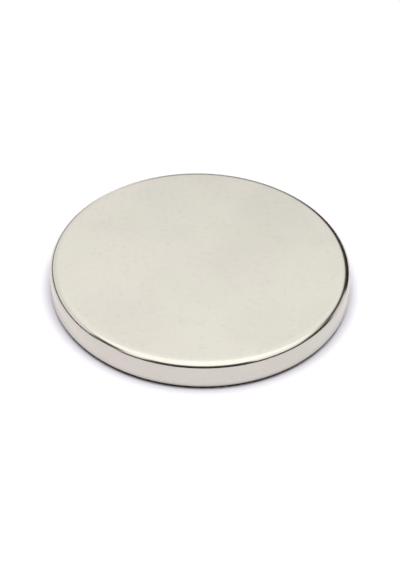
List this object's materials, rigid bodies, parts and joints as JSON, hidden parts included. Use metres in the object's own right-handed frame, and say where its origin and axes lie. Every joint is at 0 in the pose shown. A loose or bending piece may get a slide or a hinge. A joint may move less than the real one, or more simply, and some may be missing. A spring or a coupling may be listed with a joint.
{
  "type": "disc magnet",
  "caption": "Thin round disc magnet with flat pole faces, a plain wall and softly rounded edges, bright nickel plated, for holding on steel or setting in a round pocket.",
  "frame": {"origin": "middle of the lower pole face, where the disc rests", "axes": "+Z along the disc's axis, from the lower pole face to the upper one; X and Y are alike"},
  "size_m": [0.018, 0.018, 0.002],
  "materials": {
    "nickel_plating": "bright nickel plate over a tumbled sintered disc, with a faint soft waviness"
  },
  "bodies": {
    "root": {"magnet_disc": "nickel_plating"}
  },
  "joints": []
}
